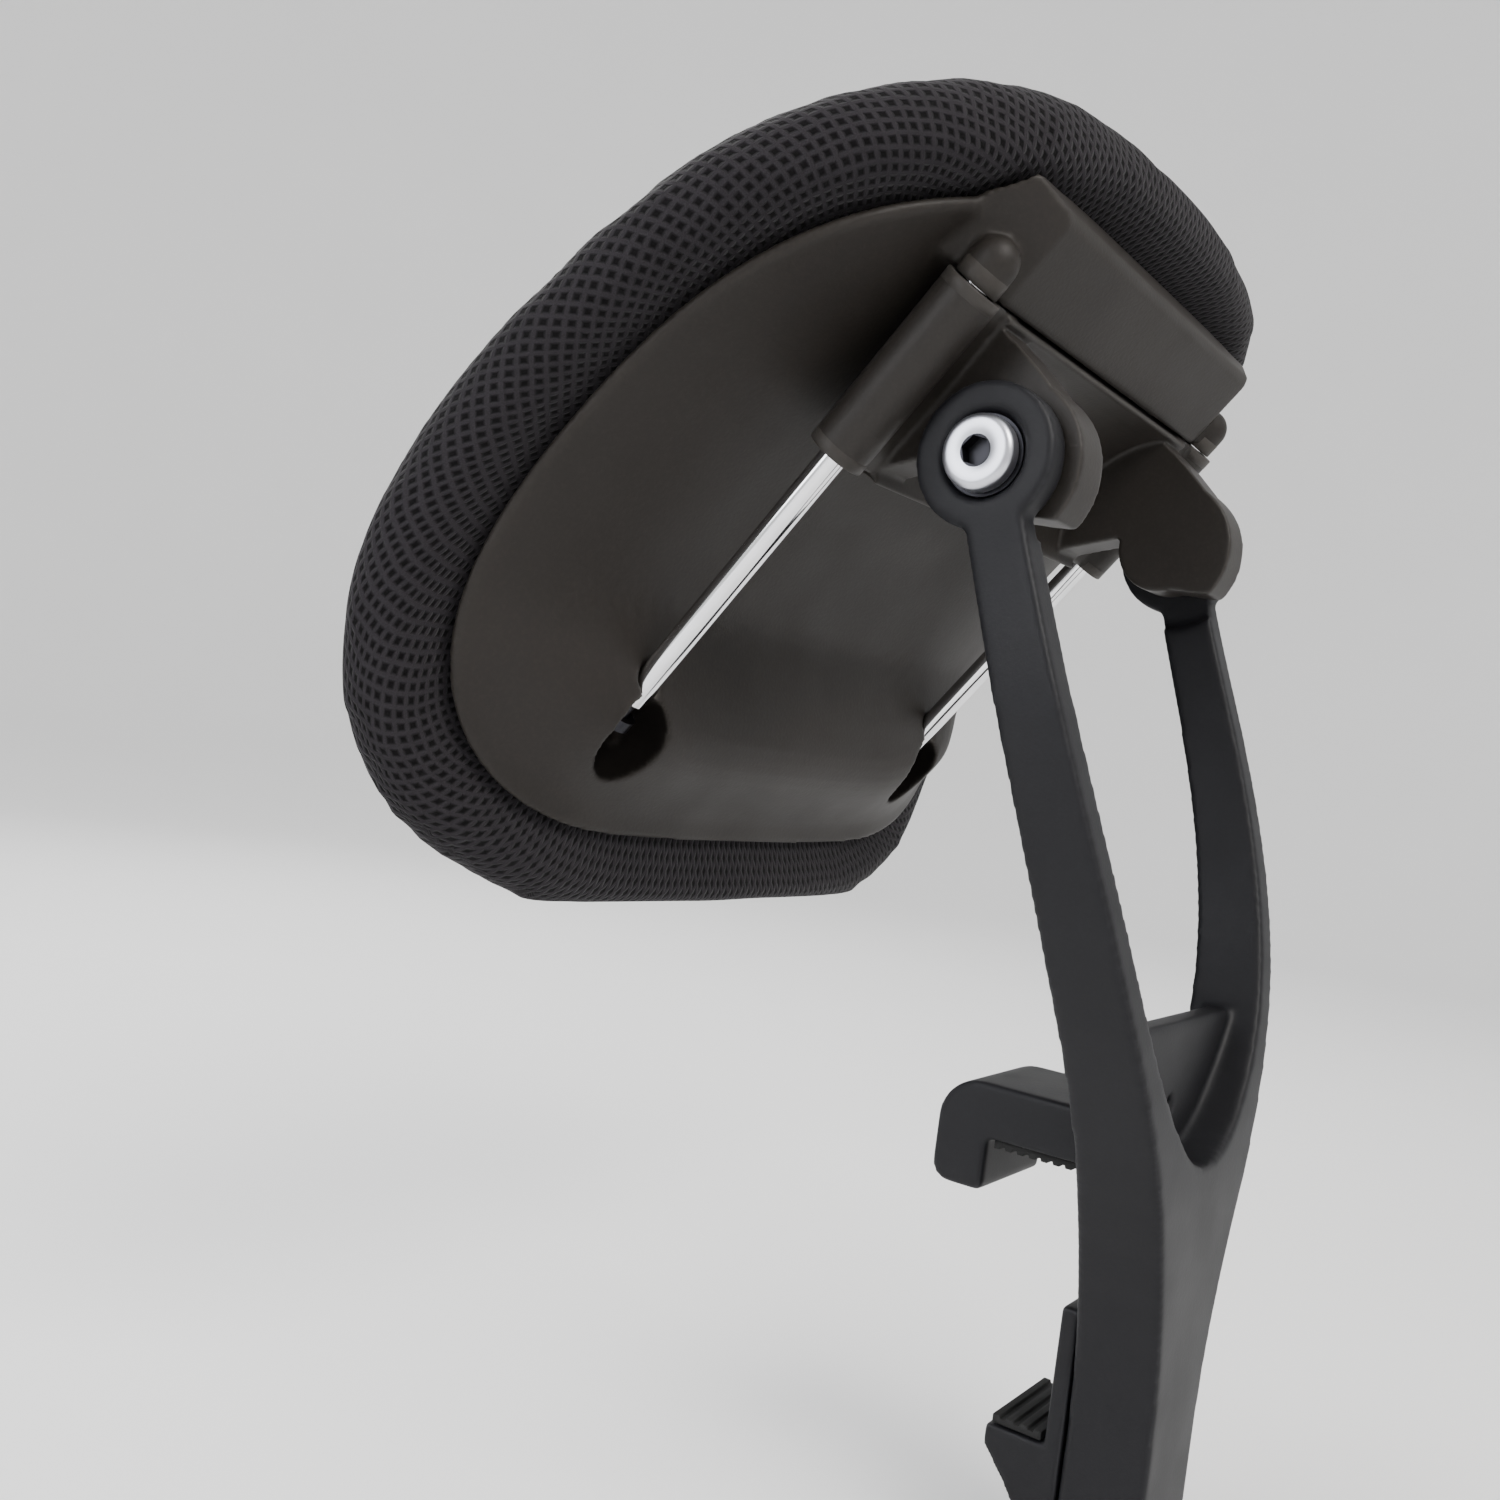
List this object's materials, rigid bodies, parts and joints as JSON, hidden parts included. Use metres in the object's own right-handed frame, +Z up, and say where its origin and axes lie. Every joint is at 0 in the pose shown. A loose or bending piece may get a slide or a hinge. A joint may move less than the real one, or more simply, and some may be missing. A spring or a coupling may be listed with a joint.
{
  "type": "chair headrest attachment",
  "caption": "Padded headrest on slide rods, tilting between the arms of a forked bracket that hooks over a chair's top rail and clamps it from below.",
  "frame": {"origin": "middle of the rubber-lined seat under the hook, where it rests on the chair's top rail", "axes": "+Z up, -Y towards the sitter's head, +X lateral, parallel to the tilt axis"},
  "size_m": [0.2358, 0.1422, 0.2827],
  "materials": {
    "arm_plastic": "satin black moulded plastic with a fine grain",
    "moulded_plastic": "dark warm grey moulded plastic with a fine spark texture",
    "mesh_fabric": "black spacer mesh with small diamond holes",
    "foam": "open-cell foam",
    "board": "thin pressed board",
    "chrome": "polished chrome plating",
    "silver_steel": "satin zinc-plated steel",
    "black_steel": "black oxide on steel",
    "brass": "turned brass",
    "bushing_plastic": "natural acetal",
    "rubber": "matt black rubber"
  },
  "bodies": {
    "fork": {"fork": "arm_plastic", "hook_liner": "rubber"},
    "clamp_jaw": {"clamp_jaw": "arm_plastic", "jaw_liner": "rubber", "jaw_nut": "brass"},
    "clamp_screw": {"clamp_screw": "silver_steel", "screw_washer": "silver_steel", "screw_clip": "black_steel"},
    "carriage": {"carriage": "moulded_plastic", "pivot_bolt_near": "silver_steel", "spring_washer_near": "black_steel", "friction_washer_near": "bushing_plastic", "threaded_insert_near": "brass", "lower_bushing_near": "bushing_plastic", "upper_bushing_near": "bushing_plastic", "grip_ring_near": "rubber", "pivot_bolt_far": "silver_steel", "spring_washer_far": "black_steel", "friction_washer_far": "bushing_plastic", "threaded_insert_far": "brass", "lower_bushing_far": "bushing_plastic", "upper_bushing_far": "bushing_plastic", "grip_ring_far": "rubber"},
    "pad": {"back_shell": "moulded_plastic", "carrier_board": "board", "foam_pad": "foam", "mesh_cover": "mesh_fabric", "chrome_rod_near": "chrome", "rod_grub_near": "black_steel", "rod_lock_screw_near": "black_steel", "chrome_rod_far": "chrome", "rod_grub_far": "black_steel", "rod_lock_screw_far": "black_steel", "shell_screw_1": "black_steel", "shell_screw_2": "black_steel", "shell_screw_3": "black_steel", "shell_screw_4": "black_steel"}
  },
  "joints": [
    {"name": "clamp_slide", "type": "slide", "parent": "fork", "child": "clamp_jaw", "axis": [0, 0, 1], "range_m": [0, 0.024]},
    {"name": "clamp_turn", "type": "hinge", "parent": "fork", "child": "clamp_screw", "pos_m": [0, 0.0175, -0.045], "axis": [0, 0, 1], "range_deg": [0, 2881]},
    {"name": "head_tilt", "type": "hinge", "parent": "fork", "child": "carriage", "pos_m": [0, -0.0125, 0.1325], "axis": [1, 0, 0], "range_deg": [-20, 27]},
    {"name": "height_slide", "type": "slide", "parent": "carriage", "child": "pad", "axis": [0, 0.6293, 0.7771], "range_m": [0, 0.05]}
  ],
  "couplings": [
    {"joint": "clamp_turn", "follows": "clamp_slide", "rad_per_m": 2094.4}
  ]
}
